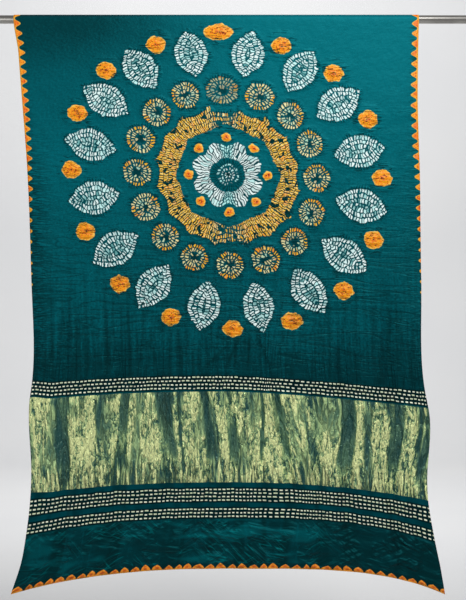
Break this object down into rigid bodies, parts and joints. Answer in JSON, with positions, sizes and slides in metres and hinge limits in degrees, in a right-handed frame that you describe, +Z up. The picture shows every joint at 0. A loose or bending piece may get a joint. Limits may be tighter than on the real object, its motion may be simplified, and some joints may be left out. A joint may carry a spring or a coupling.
{
  "type": "bandhani cloth on a hanging rod",
  "caption": "Tie-dyed silk cloth hung over a plain round rod, with a radial dotted pattern, a woven metallic panel and a scalloped edge, its hem drawn out at the corners.",
  "frame": {"origin": "on the rod's axis, above the middle of the cloth", "axes": "+Z up, +X along the rod to the right seen from the front, -Y out of the cloth's face"},
  "size_m": [1.2, 0.0548, 1.3164],
  "materials": {
    "dyed_silk": "satin",
    "satin_steel": "satin"
  },
  "bodies": {
    "root": {"cloth": "dyed_silk", "rod": "satin_steel"}
  },
  "joints": []
}
